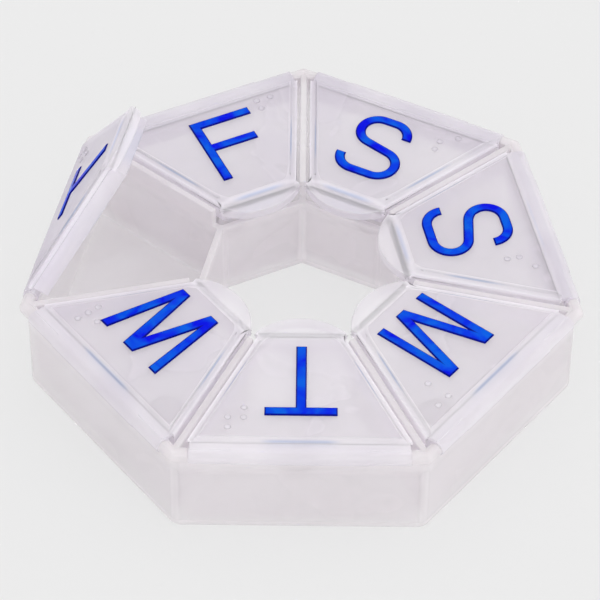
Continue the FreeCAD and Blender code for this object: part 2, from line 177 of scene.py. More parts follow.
class NodeKit:
    """Adds, feeds and joins shader nodes in one tree."""

    def __init__(self, tree: NodeTree) -> None:
        """Keeps the tree that is added to."""
        self.tree = tree

    def add(self, kind: str, **settings: object) -> Node:
        """Adds a node.

        Args:
            kind: The node's type.
            settings: Values for the node's own properties.

        Returns:
            The new node.
        """
        node = self.tree.nodes.new(kind)
        for name, value in settings.items():
            setattr(node, name, value)
        return node

    def join(self, source: NodeSocket, target: NodeSocket) -> None:
        """Links one socket to another."""
        self.tree.links.new(source, target)

    def set(self, node: Node, **values: object) -> None:
        """Sets sockets by name, with underscores for spaces."""
        for name, value in values.items():
            node.inputs[name.replace("_", " ")].default_value = value

    def feed(self, target: NodeSocket, value: object) -> None:
        """Gives a socket a link, a colour without its alpha or a number."""
        if isinstance(value, NodeSocket):
            self.join(value, target)
        else:
            target.default_value = (*value, 1.0) if isinstance(value, tuple) else value

    def math(self, operation: str, *values: object) -> NodeSocket:
        """Adds a math step.

        Args:
            operation: The step's operation.
            values: Its sockets or numbers.

        Returns:
            The step's result.
        """
        node = self.add("ShaderNodeMath", operation=operation)
        for socket, value in zip(node.inputs, values):
            self.feed(socket, value)
        return node.outputs[0]

    def mix(self, share: object, first: object, second: object) -> NodeSocket:
        """Blends two colours, or two numbers.

        Args:
            share: How much there is of the second.
            first: A socket, a colour or a number.
            second: A colour or a number, which says what is blended.

        Returns:
            The blend.
        """
        # The node keeps its sockets for numbers at 2 and 3, and those for colours at 6 and 7.
        kind, start, result = ("RGBA", 6, 2) if isinstance(second, tuple) else ("FLOAT", 2, 0)
        node = self.add("ShaderNodeMix", data_type=kind)
        for place, value in zip((0, start, start + 1), (share, first, second)):
            self.feed(node.inputs[place], value)
        return node.outputs[result]

    def attribute(self, name: str) -> NodeSocket:
        """Reads one of the mesh's own marks."""
        return self.add("ShaderNodeAttribute", attribute_name=name).outputs["Fac"]

    def parts(self, vector: NodeSocket) -> bpy.types.bpy_prop_collection:
        """Takes a vector apart."""
        node = self.add("ShaderNodeSeparateXYZ")
        self.join(vector, node.inputs[0])
        return node.outputs

    def between(self, value: NodeSocket, low: float, high: float) -> NodeSocket:
        """Spreads a mask evenly between two values."""
        node = self.add("ShaderNodeMapRange")
        self.set(node, To_Min=low, To_Max=high)
        self.join(value, node.inputs["Value"])
        return node.outputs["Result"]

    def ramp(self, value: NodeSocket, start: float, end: float) -> NodeSocket:
        """Rises smoothly from 0 at start to 1 at end, and falls where end is the smaller."""
        node = self.add("ShaderNodeMapRange", interpolation_type="SMOOTHSTEP")
        self.set(node, From_Min=min(start, end), From_Max=max(start, end),
                 To_Min=float(start > end), To_Max=float(end > start))
        self.join(value, node.inputs["Value"])
        return node.outputs["Result"]

    def band(self, value: NodeSocket, middle: float, width: float) -> NodeSocket:
        """Is 1 at the middle value and fades to 0 at this distance on both sides of it."""
        away = self.math("ABSOLUTE", self.math("SUBTRACT", value, middle))
        return self.ramp(away, width, 0.0)

    def bump(self, height: NodeSocket, shader: Node, strength: float, depth: float) -> None:
        """Roughens a shader's surface by a height of this depth in metres."""
        node = self.add("ShaderNodeBump")
        self.set(node, Strength=strength, Distance=depth)
        self.join(height, node.inputs["Height"])
        self.join(node.outputs["Normal"], shader.inputs["Normal"])


def new_material(name: str) -> tuple[Material, NodeKit, Node]:
    """Starts a material.

    Args:
        name: Its name.

    Returns:
        The material, a kit for its nodes and its shader.
    """
    material = bpy.data.materials.new(name)
    material.use_nodes = True
    tree = material.node_tree
    return material, NodeKit(tree), tree.nodes["Principled BSDF"]


def new_group(name: str, inputs: tuple[str, ...], outputs: tuple[str, ...]) -> NodeKit:
    """Starts a shared group of nodes whose sockets all carry numbers.

    Args:
        name: Its name.
        inputs: Names of its inputs.
        outputs: Names of its outputs.

    Returns:
        A kit for its nodes.
    """
    group = bpy.data.node_groups.new(name, "ShaderNodeTree")
    for way, names in (("INPUT", inputs), ("OUTPUT", outputs)):
        for socket in names:
            group.interface.new_socket(socket, in_out=way, socket_type="NodeSocketFloat")
    return NodeKit(group)


def cloud_group() -> NodeTree:
    """Gives the shared group of soft clouds, soft patches of painted sheen and fine orange peel.

    Returns:
        The group, with the clouds and the painted sheen patches as masks and the peel as a height.
    """
    group = bpy.data.node_groups.get("moulding_clouds")
    if group:
        return group
    kit = new_group("moulding_clouds", ("Cloud Scale", "Peel Scale", "Contrast"),
                    ("Mask", "Height", "Painted Sheen"))
    start = kit.add("NodeGroupInput")
    end = kit.add("NodeGroupOutput")
    place = kit.add("ShaderNodeTexCoord")
    cloud = kit.add("ShaderNodeTexNoise")
    kit.set(cloud, Detail=2.0, Roughness=0.45, Distortion=0.6)
    peel = kit.add("ShaderNodeTexNoise")
    kit.set(peel, Detail=1.0, Roughness=0.4)
    for noise, scale in ((cloud, "Cloud Scale"), (peel, "Peel Scale")):
        kit.join(place.outputs["Object"], noise.inputs["Vector"])
        kit.join(start.outputs[scale], noise.inputs["Scale"])
    centred = kit.math("SUBTRACT", cloud.outputs["Fac"], 0.5)
    spread = kit.math("MULTIPLY_ADD", centred, start.outputs["Contrast"], 0.5)
    spread.node.use_clamp = True
    kit.join(spread, end.inputs["Mask"])
    kit.join(peel.outputs["Fac"], end.inputs["Height"])
    # Soft patches of painted sheen, where the clouds run highest.
    kit.join(kit.ramp(cloud.outputs["Fac"], *PAINTED_SHEEN_EDGE), end.inputs["Painted Sheen"])
    return kit.tree


@dataclass(frozen=True)
class MouldingMarks:
    """Masks laid out on a moulding's plan, in millimetres.

    Out is measured from the ring's centre, beside from the side's middle and gap from the
    divider's middle plane. A band is a middle and a half width. Any other pair says where its mask
    is 0 and where it is 1.
    """

    side_glint_band: Pair = (2.72, 0.3)
    side_glint_start: Pair = (28.0, 32.0)
    side_glint_end: Pair = (42.0, 36.0)
    hinge_glint_band: Pair = (51.8, 0.55)
    hinge_glint_beside: Pair = (9.0, 5.0)
    thumb_glint_band: Pair = (22.1, 0.8)
    thumb_glint_beside: Pair = (7.0, 3.0)
    outer_corner_out: Pair = (52.0, 53.5)
    inner_corner_out: Pair = (21.6, 20.6)
    corner_gap: Pair = (1.3, 0.5)
    tab_out: Pair = (22.3, 20.8)
    hole_out: Pair = (20.6, 19.9)
    slope_band: Pair = (22.5, 0.9)
    slope_share: float = 0.8
    crevice_gap: Pair = (2.2, 1.5)

    def group(self) -> NodeTree:
        """Gives the shared group, and builds it where it doesn't exist yet.

        Returns:
            The group, with a mask for each output. It reads the map "plan" and the mark "near".
        """
        group = bpy.data.node_groups.get("moulding_plan")
        if group:
            return group
        kit = new_group("moulding_plan", (), ("Glint", "Corner", "Tab", "Hole", "Crevice"))
        end = kit.add("NodeGroupOutput")
        plan = kit.parts(kit.add("ShaderNodeUVMap", uv_map="plan").outputs["UV"])
        out = kit.math("MULTIPLY", plan["X"], PLAN_SPAN)
        beside = kit.math("ABSOLUTE", kit.math("MULTIPLY", plan["Y"], PLAN_SPAN))
        gap = kit.math("SUBTRACT", kit.math("MULTIPLY", out, math.sin(PLAN.half)),
                       kit.math("MULTIPLY", beside, math.cos(PLAN.half)))
        side = kit.math("MULTIPLY", kit.band(gap, *self.side_glint_band),
                        kit.math("MULTIPLY", kit.ramp(out, *self.side_glint_start),
                                 kit.ramp(out, *self.side_glint_end)))
        near = kit.attribute("near")
        hinge = kit.math("MULTIPLY", kit.band(out, *self.hinge_glint_band),
                         kit.ramp(beside, *self.hinge_glint_beside))
        hinge = kit.math("MULTIPLY", hinge, near)
        thumb = kit.math("MULTIPLY", kit.band(out, *self.thumb_glint_band),
                         kit.ramp(beside, *self.thumb_glint_beside))
        thumb = kit.math("MULTIPLY", thumb, kit.math("SUBTRACT", 1.0, near))
        glints = kit.math("MAXIMUM", side, kit.math("MAXIMUM", hinge, thumb))
        kit.join(glints, end.inputs["Glint"])
        ends = kit.math("MAXIMUM", kit.ramp(out, *self.outer_corner_out),
                        kit.ramp(out, *self.inner_corner_out))
        corner = kit.math("MULTIPLY", kit.ramp(gap, *self.corner_gap), ends)
        kit.join(corner, end.inputs["Corner"])
        kit.join(kit.ramp(out, *self.tab_out), end.inputs["Tab"])
        kit.join(kit.ramp(out, *self.hole_out), end.inputs["Hole"])
        # The plateau's inner slope and the narrow gaps, where the painted glow lightens the shade.
        slope = kit.math("MULTIPLY", kit.band(out, *self.slope_band), self.slope_share)
        crevice = kit.math("MAXIMUM", slope, kit.ramp(gap, *self.crevice_gap))
        kit.join(crevice, end.inputs["Crevice"])
        return kit.tree


class Body(Enum):
    """Which of the mouldings a plastic is for."""

    TRAY = "tray"
    LID = "lid"


@dataclass(frozen=True)
class MilkyPlastic:
    """Milky see-through polypropylene.

    Attributes:
        body: The moulding that it is for.
        pale: Linear colour of the clear places.
        deep: Linear colour of the cloudy places and of the painted shade.
        rim: Linear colour where the plastic is thick or seen end-on.
        glint: Linear colour of the light that the ink throws into the bevels.
        haze_clear: Opacity of one surface where it faces the eye, at its clearest.
        haze_cloudy: Opacity there at its cloudiest.
        haze_edge: Opacity at a grazing angle.
        haze_thick: Opacity where the plastic is thick or seen end-on.
        scatter: Share of the light that crosses the plastic and comes out scattered.
        bend: Index of refraction of that light.
        blur: Roughness of that light, where clear and where cloudy.
        gloss: Weight of the smooth moulded skin.
        cloudiness: How strongly the clouds deepen the colour.
        painted_sheen: How strongly the soft patches of painted sheen pale and haze the plastic.
        glint_share: How strongly the bevels show the glint.
        painted_glow: Strength of the painted glow that stands in for light the plastic guides to
            its edges and narrow gaps.
        crevice_share: Share of that painted glow at the narrow gaps beside the lids.
        hole_share: Share of that painted glow on the hole's walls.
        hole_painted_light: How much painted light pales the hole's walls.
        tab_clear: How much clearer the thumb tab is than the rest of the rim.
        wall_top: Heights in metres between which a wall turns thick.
        wall_foot: Heights in metres between which its foot turns thick.
        foot_share: How thick the foot is.
        corner_share: How thick the corners are.
    """

    body: Body
    pale: Triple
    deep: Triple
    rim: Triple
    glint: Triple = (0.45, 0.56, 0.82)
    haze_clear: float = 0.36
    haze_cloudy: float = 0.45
    haze_edge: float = 0.75
    haze_thick: float = 0.75
    scatter: float = 0.3
    bend: float = 1.05
    blur: Pair = (0.6, 0.72)
    gloss: float = 0.25
    cloudiness: float = 0.5
    painted_sheen: float = 0.1
    glint_share: float = 0.0
    painted_glow: float = 0.15
    crevice_share: float = 0.1
    hole_share: float = 0.4
    hole_painted_light: float = 0.0
    tab_clear: float = 0.7
    wall_top: Pair = (0.0160, 0.0198)
    wall_foot: Pair = (0.0018, 0.0012)
    foot_share: float = 0.5
    corner_share: float = 0.4

    def build(self) -> Material:
        """Makes the material.

        Returns:
            The finished material.
        """
        material, kit, shader = new_material(f"{self.body.value}_plastic")
        kit.set(shader, IOR=self.bend, Transmission_Weight=self.scatter,
                Coat_Weight=self.gloss, Coat_Roughness=0.12,
                Emission_Strength=self.painted_glow)
        clouds = kit.add("ShaderNodeGroup", node_tree=cloud_group())
        kit.set(clouds, Cloud_Scale=62.0, Peel_Scale=900.0, Contrast=3.0)
        cloud = clouds.outputs["Mask"]
        plan = kit.add("ShaderNodeGroup", node_tree=MouldingMarks().group()).outputs
        # Soft patches of painted sheen, which then pale the plastic along with its thick places.
        sheen_patch = kit.math("MULTIPLY", clouds.outputs["Painted Sheen"], self.painted_sheen)
        thick = kit.math("MAXIMUM", self.thickness(kit, plan), sheen_patch)
        # Painted light that pales the hole's walls.
        hole = kit.math("MULTIPLY", plan["Hole"], self.hole_painted_light)
        colour = kit.mix(kit.math("MAXIMUM", thick, hole), self.pale, self.rim)
        off_tab = kit.math("SUBTRACT", 1.0, plan["Tab"])
        # Painted shade per lid and on the cells' floors, with the random clouds added on top.
        painted_shade = kit.math("MULTIPLY", kit.attribute("painted_shade"), off_tab)
        painted_shade = kit.math("MULTIPLY_ADD", cloud, self.cloudiness, painted_shade)
        colour = kit.mix(painted_shade, colour, self.deep)
        colour = kit.mix(kit.math("MULTIPLY", plan["Glint"], self.glint_share), colour,
                         self.glint)
        kit.join(colour, shader.inputs["Base Color"])
        # Painted glow in the narrow gaps, on the plateau's inner slope and on the hole's walls.
        crevice = kit.math("MULTIPLY", kit.math("MULTIPLY", plan["Crevice"], thick),
                           self.crevice_share)
        lit = kit.math("MAXIMUM", crevice, kit.math("MULTIPLY", hole, self.hole_share))
        kit.join(kit.mix(lit, (0.0, 0.0, 0.0), self.rim), shader.inputs["Emission Color"])
        kit.join(kit.between(cloud, *self.blur), shader.inputs["Roughness"])
        edge = kit.add("ShaderNodeLayerWeight")
        kit.set(edge, Blend=0.35)
        haze = kit.between(cloud, self.haze_clear, self.haze_cloudy)
        haze = kit.mix(edge.outputs["Facing"], haze, self.haze_edge)
        kit.join(kit.mix(thick, haze, self.haze_thick), shader.inputs["Alpha"])
        kit.bump(clouds.outputs["Height"], shader, strength=0.05, depth=0.00003)
        return material

    def thickness(self, kit: NodeKit, plan: bpy.types.bpy_prop_collection) -> NodeSocket:
        """Finds where the plastic is thick: the lids' rims, the walls' tops and feet, corners.

        Args:
            kit: The material's kit.
            plan: The masks of the plan.

        Returns:
            The mask.
        """
        if self.body is Body.LID:
            tab = kit.math("MULTIPLY_ADD", plan["Tab"], -self.tab_clear, 1.0)
            return kit.math("MULTIPLY", kit.attribute("thick"), tab)
        height = kit.parts(kit.add("ShaderNodeTexCoord").outputs["Object"])["Z"]
        top = kit.ramp(height, *self.wall_top)
        foot = kit.math("MULTIPLY", kit.ramp(height, *self.wall_foot), self.foot_share)
        corner = kit.math("MULTIPLY", plan["Corner"], self.corner_share)
        return kit.math("MAXIMUM", top, kit.math("MAXIMUM", foot, corner))


@dataclass(frozen=True)
class GlossyInk:
    """Thick glossy ink that flows brighter and deeper, with painted shade that is darkest at its
    rim.

    Attributes:
        name: The material's name.
        bright: Linear colour where the ink is thin and lit.
        deep: Linear colour where it is thick.
        rim: Linear colour of the painted shade on its rounded rim.
    """

    name: str
    bright: Triple
    deep: Triple
    rim: Triple

    def build(self) -> Material:
        """Makes the material.

        Returns:
            The finished material.
        """
        material, kit, shader = new_material(self.name)
        kit.set(shader, Roughness=0.15, Specular_IOR_Level=0.04)
        clouds = kit.add("ShaderNodeGroup", node_tree=cloud_group())
        kit.set(clouds, Cloud_Scale=210.0, Peel_Scale=700.0, Contrast=3.4)
        colour = kit.mix(clouds.outputs["Mask"], self.bright, self.deep)
        # Painted shade: the ink darkens towards its rounded rim.
        colour = kit.mix(kit.attribute("rim"), colour, self.rim)
        kit.join(colour, shader.inputs["Base Color"])
        kit.bump(clouds.outputs["Height"], shader, strength=0.25, depth=0.0002)
        return material


def show(obj: Object) -> None:
    """Puts an object into the scene."""
    bpy.context.scene.collection.objects.link(obj)


class Moulding:
    """Shared modelling steps for the moulded pieces."""

    @staticmethod
    def faces(shape: BMesh, test: Callable[[Vector, Vector], bool]) -> list[BMFace]:
        """Finds the faces that pass a test of their middle and their normal."""
        shape.normal_update()
        return [face for face in shape.faces if test(face.calc_center_bounds(), face.normal)]

    @staticmethod
    def cut(shape: BMesh, faces: Iterable[BMFace], point: Vector, normal: Vector) -> None:
        """Cuts faces along a plane and keeps both halves.

        Args:
            shape: The mesh.
            faces: The faces to cut.
            point: A point on the plane.
            normal: The plane's normal.
        """
        parts = dict.fromkeys(item for face in faces
                              for item in (face, *face.edges, *face.verts))
        bmesh.ops.bisect_plane(shape, geom=list(parts), dist=WELD, plane_co=point,
                               plane_no=normal)

    @staticmethod
    def cut_across(shape: BMesh, faces: Iterable[BMFace], out: float) -> None:
        """Cuts faces along the plane that stands at a distance out."""
        Moulding.cut(shape, faces, Vector((out, 0, 0)), Vector((1, 0, 0)))

    @staticmethod
    def edges_of(faces: Iterable[BMFace]) -> list[BMEdge]:
        """Each edge of some faces once, in their order."""
        return list(dict.fromkeys(edge for face in faces for edge in face.edges))

    @staticmethod
    def face_out(shape: BMesh) -> None:
        """Turns every face outward."""
        bmesh.ops.recalc_face_normals(shape, faces=shape.faces)

    @staticmethod
    def raise_faces(shape: BMesh, faces: list[BMFace], rise: float) -> list[BMFace]:
        """Extrudes a region straight up or down.

        Args:
            shape: The mesh.
            faces: The region.
            rise: How far it moves in Z.

        Returns:
            The region's faces at their new height.
        """
        edges = Moulding.edges_of(faces)
        grown = bmesh.ops.extrude_face_region(shape, geom=[*faces, *edges])["geom"]
        verts = [item for item in grown if isinstance(item, BMVert)]
        bmesh.ops.translate(shape, verts=verts, vec=(0, 0, rise))
        return [item for item in grown if isinstance(item, BMFace)]

    @staticmethod
    def lathe(shape: BMesh, profile: Iterable[Pair], steps: int = 24) -> None:
        """Turns a profile about the hinge's axis.

        Args:
            shape: The mesh that the turned part is added to.
            profile: Pairs of radius and place along the axis.
            steps: Facets round the axis.
        """
        part = bmesh.new()
        points = [part.verts.new((PLAN.hinge_out + radius, along, PLAN.hinge_height))
                  for radius, along in profile]
        chain = [part.edges.new(pair) for pair in zip(points, points[1:])]
        bmesh.ops.spin(part, geom=points + chain, cent=(PLAN.hinge_out, 0, PLAN.hinge_height),
                       axis=(0, 1, 0), angle=2 * math.pi, steps=steps, use_merge=True)
        bmesh.ops.remove_doubles(part, verts=part.verts, dist=WELD)
        Moulding.face_out(part)
        Moulding.append(shape, part)

    @staticmethod
    def rounded_end(radius: float, end: float, way: int) -> list[Pair]:
        """Profile points of a rod's softly rounded end.

        Args:
            radius: The rod's radius.
            end: Where it ends along the axis.
            way: Which way along the axis that end looks.

        Returns:
            Pairs of radius and place along the axis, from the rod's side to its end.
        """
        turns = [math.pi / 2 * step / END_STEPS for step in range(END_STEPS + 1)]
        return [(radius - END_ROUND * (1 - math.cos(turn)),
                 end - way * END_ROUND * (1 - math.sin(turn))) for turn in turns]

    @staticmethod
    def everything(shape: BMesh) -> list[BMVert | BMEdge | BMFace]:
        """All the parts of a mesh."""
        return [*shape.verts, *shape.edges, *shape.faces]

    @staticmethod
    def round_off(shape: BMesh, edges: list[BMEdge], width: float, steps: int,
                  clamp: bool = False) -> None:
        """Rounds edges by a width in millimetres, in this many facets."""
        bmesh.ops.bevel(shape, geom=edges, affect="EDGES", offset=width, segments=steps,
                        profile=0.5, material=-1, clamp_overlap=clamp)

    @staticmethod
    def lay_plan(shape: BMesh) -> None:
        """Lays the side's plan out on the mesh as its own map."""
        plan = shape.loops.layers.uv.new("plan")
        for face in shape.faces:
            for loop in face.loops:
                loop[plan].uv = loop.vert.co.xy / PLAN_SPAN

    @staticmethod
    def append(shape: BMesh, part: BMesh) -> None:
        """Adds one mesh to another and frees it."""
        carrier = bpy.data.meshes.new("carrier")
        part.to_mesh(carrier)
        part.free()
        shape.from_mesh(carrier)
        bpy.data.meshes.remove(carrier)

    @staticmethod
    def finish(shape: BMesh, name: str, place: Matrix, material: Material,
               edge_width: float = 0.0, edge_steps: int = 3) -> Object:
        """Turns a modelled shape into a finished piece.

        Args:
            shape: The shape in millimetres in its side's frame.
            name: The piece's name.
            place: The turn to its place in the ring.
            material: Its finish.
            edge_width: Width of the rounding on its sharp edges, in millimetres.
            edge_steps: Facets of that rounding.

        Returns:
            The finished object.
        """
        bmesh.ops.transform(shape, matrix=Matrix.Scale(MM, 4) @ place, verts=shape.verts)
        mesh = bpy.data.meshes.new(name)
        shape.to_mesh(mesh)
        shape.free()
        mesh.materials.append(material)
        piece = bpy.data.objects.new(name, mesh)
        show(piece)
        mesh.shade_smooth()
        if edge_width:
            edges = piece.modifiers.new("rounded_edges", "BEVEL")
            edges.width = edge_width * MM
            edges.segments = edge_steps
            edges.use_clamp_overlap = False
            edges.limit_method = "ANGLE"
            edges.angle_limit = SHARP_EDGE
            flat = piece.modifiers.new("flat_faces", "WEIGHTED_NORMAL")
            flat.weight = FLAT_WEIGHT
        LOG.info("%s: %d faces", name, len(mesh.polygons))
        return piece


@dataclass
class Tray(Moulding):
    """The tray: ring, cells, stepped wall tops, knuckles and moulding marks.

    Attributes:
        finish_plastic: Its plastic.
        corner_steps: Facets of each outer corner.
        cell_fillet: Radius where the cell's walls meet its floor.
        knuckle_radius: Radius of the knuckles.
        dome_steps: Facets of a knuckle's domed end.
        socket_radius: Radius of the pin's socket.
        socket_depth: Depth of that socket.
        gate_radius: Radius of the ring that the ejector leaves on each floor.
        gate_out: Distance out of that ring.
        gate_rise: Height of that ring.
        gate_band: Width of that ring.
        gate_sink: Depth of the hollow inside it, as a share of its height.
        floor_painted_shade: How much painted shade deepens the cells' floors.
        edge_width: Width of the rounding on its sharp edges.
    """

    finish_plastic: Material
    corner_steps: int = 8
    cell_fillet: float = 0.5
    knuckle_radius: float = 1.39
    dome_steps: int = 6
    socket_radius: float = 0.71
    socket_depth: float = 1.5
    gate_radius: float = 3.35
    gate_out: float = 37.0
    gate_rise: float = 0.12
    gate_band: float = 0.25
    gate_sink: float = 0.8
    floor_painted_shade: float = 0.3
    edge_width: float = 0.35

    def build(self) -> Object:
        """Makes the tray.

        Returns:
            The finished tray, standing for its solid.
        """
        shape = self.sector()
        self.lay_plan(shape)
        # Painted shade that deepens the cells' floors.
        painted_shade = shape.verts.layers.float.new("painted_shade")
        for vert in shape.verts:
            vert[painted_shade] = self.floor_painted_shade if vert.co.z < PLAN.floor + WELD else 0.0
        bmesh.ops.spin(shape, geom=self.everything(shape), cent=(0, 0, 0),
                       axis=(0, 0, 1), angle=2 * math.pi * (PLAN.sides - 1) / PLAN.sides,
                       steps=PLAN.sides - 1, use_duplicate=True)
        bmesh.ops.remove_doubles(shape, verts=shape.verts, dist=SEAM_WELD)
        self.face_out(shape)
        for number in range(PLAN.sides):
            turn = Matrix.Rotation(2 * PLAN.half * number, 4, "Z")
            for part in (self.knuckle(-1), self.knuckle(1), self.ejector_mark()):
                self.lay_plan(part)
                bmesh.ops.transform(part, matrix=turn, verts=part.verts)
                self.append(shape, part)
        piece = self.finish(shape, "ring_tray", PLAN.turn(0), self.finish_plastic,
                            self.edge_width)
        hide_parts("base_tray")
        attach(piece, "tray")
        return piece

    def sector(self) -> BMesh:
        """Makes one seventh of the ring, open where it meets its neighbours.

        Returns:
            The mesh in millimetres.
        """
        shape = bmesh.new()
        bmesh.ops.create_circle(shape, cap_ends=True, segments=PLAN.sides,
                                radius=PLAN.ring_radius)
        first = max(shape.verts, key=lambda vert: vert.co.x)
        lean = PLAN.half - math.atan2(first.co.y, first.co.x)
        bmesh.ops.rotate(shape, verts=shape.verts, matrix=Matrix.Rotation(lean, 3, "Z"))
        bmesh.ops.bevel(shape, geom=list(shape.verts), affect="VERTICES", profile=0.5,
                        offset=PLAN.corner_radius * math.tan(PLAN.half),
                        segments=self.corner_steps, material=-1)
        for sign in (-1, 1):
            bmesh.ops.bisect_plane(shape, geom=self.everything(shape), dist=WELD,
                                   plane_co=(0, 0, 0), plane_no=PLAN.side_normal(sign),
                                   clear_outer=True)
        bmesh.ops.bisect_plane(shape, geom=self.everything(shape), dist=WELD,
                               plane_co=(PLAN.hole_face, 0, 0), plane_no=(1, 0, 0),
                               clear_inner=True)
        self.plan_cuts(shape)
        self.raise_walls(shape)
        return shape

    def plan_cuts(self, shape: BMesh) -> None:
        """Cuts the floor's sheet along the outlines of the cell and the wall tops."""
        self.cut_across(shape, shape.faces, PLAN.cell_outer)
        self.cut_across(shape, shape.faces, PLAN.cell_inner)
        for sign in (-1, 1):
            normal = PLAN.side_normal(sign)
            within = self.faces(shape, lambda mid, _: mid.x < PLAN.cell_outer)
            self.cut(shape, within, -PLAN.divider_half * normal, normal)
            beyond = self.faces(shape, lambda mid, _: mid.x > PLAN.cell_outer)
            self.cut(shape, beyond, Vector((0, sign * PLAN.knuckle_start, 0)),
                     Vector((0, 1, 0)))
            along = Vector((math.cos(PLAN.half), sign * math.sin(PLAN.half), 0))
            divider = self.faces(shape, lambda mid, _: PLAN.gap(mid) < PLAN.divider_half
                                 and mid.y * sign > 0)
            self.cut(shape, divider, PLAN.divider_start * along, along)

    def raise_walls(self, shape: BMesh) -> None:
        """Raises the floor and then each group of walls to its own height."""
        self.raise_faces(shape, list(shape.faces), PLAN.floor)

        def tops(height: float, left_out: Callable[[Vector], bool]) -> list[BMFace]:
            """Finds the level tops at a height, but those that are left out."""
            return self.faces(shape, lambda mid, normal: normal.z > LEVEL
                              and abs(mid.z - height) < WELD and not left_out(mid))

        def is_cell(mid: Vector) -> bool:
            """Says whether a place is in the cell."""
            inside = PLAN.cell_inner < mid.x < PLAN.cell_outer
            return inside and PLAN.gap(mid) > PLAN.divider_half

        def is_low(mid: Vector) -> bool:
            """Says whether a place is on the inner wall or the dividers' low start."""
            reach = math.cos(PLAN.half) * mid.x + math.sin(PLAN.half) * abs(mid.y)
            return mid.x < PLAN.cell_inner or reach < PLAN.divider_start

        def is_outer(mid: Vector) -> bool:
            """Says whether a place is on the outer wall between the knuckles."""
            return mid.x > PLAN.cell_outer and abs(mid.y) < PLAN.knuckle_start

        height = PLAN.inner_height
        self.raise_faces(shape, tops(PLAN.floor, is_cell), height - PLAN.floor)
        self.raise_faces(shape, tops(height, is_low), PLAN.wall_height - height)
        self.raise_faces(shape, tops(PLAN.wall_height, is_outer),
                         PLAN.divider_height - PLAN.wall_height)
        seams = self.faces(shape, lambda mid, normal: PLAN.gap(mid) < SEAM_GAP
                           and abs(normal.z) < UPRIGHT)
        bmesh.ops.delete(shape, geom=seams, context="FACES_ONLY")
        loose = [edge for edge in shape.edges if not edge.link_faces]
        bmesh.ops.delete(shape, geom=loose, context="EDGES")
        bmesh.ops.remove_doubles(shape, verts=shape.verts, dist=WELD)
        corners = [edge for edge in shape.edges if self.is_cell_corner(edge)]
        self.round_off(shape, corners, self.cell_fillet, steps=4, clamp=True)

    @staticmethod
    def is_cell_corner(edge: BMEdge) -> bool:
        """Says whether an edge is one of the cell's inside corners."""
        mid = (edge.verts[0].co + edge.verts[1].co) / 2
        if len(edge.link_faces) != 2 or mid.z < PLAN.floor - WELD:
            return False
        if edge.calc_face_angle(0) < CORNER_BEND or edge.is_convex:
            return False
        upright = abs(edge.verts[0].co.z - edge.verts[1].co.z) > 1
        return mid.z < PLAN.floor + WELD or (upright and mid.z < PLAN.inner_height)

    def knuckle(self, sign: int) -> BMesh:
        """Makes one knuckle: a rod with a rounded end at the corner and a socket for the pin.

        Args:
            sign: Which end of the side.

        Returns:
            The mesh in millimetres.
        """
        shape = bmesh.new()
        near, far = PLAN.knuckle_start, PLAN.knuckle_end
        rod, hole = self.knuckle_radius, self.socket_radius
        profile = [(0.0, near + self.socket_depth), (hole, near + self.socket_depth),
                   (hole, near), *self.rounded_end(rod, near, -1)[::-1], (rod, far)]
        for step in range(1, self.dome_steps + 1):
            lean = math.pi / 2 * step / self.dome_steps
            profile.append((rod * math.cos(lean), far + rod * math.sin(lean)))
        self.lathe(shape, [(radius, sign * along) for radius, along in profile], steps=20)
        return shape

    def ejector_mark(self) -> BMesh:
        """Makes the faint ring that the ejector leaves on a cell's floor.

        Returns:
            The mesh in millimetres.
        """
        shape = bmesh.new()
        bmesh.ops.create_circle(shape, cap_ends=True, segments=40, radius=self.gate_radius)
        bmesh.ops.translate(shape, verts=shape.verts, vec=(self.gate_out, 0, PLAN.floor))
        top = self.raise_faces(shape, list(shape.faces), self.gate_rise)
        bmesh.ops.inset_region(shape, faces=top, thickness=self.gate_band,
                               use_even_offset=True)
        self.raise_faces(shape, top, -self.gate_rise * self.gate_sink)
        self.face_out(shape)
        return shape


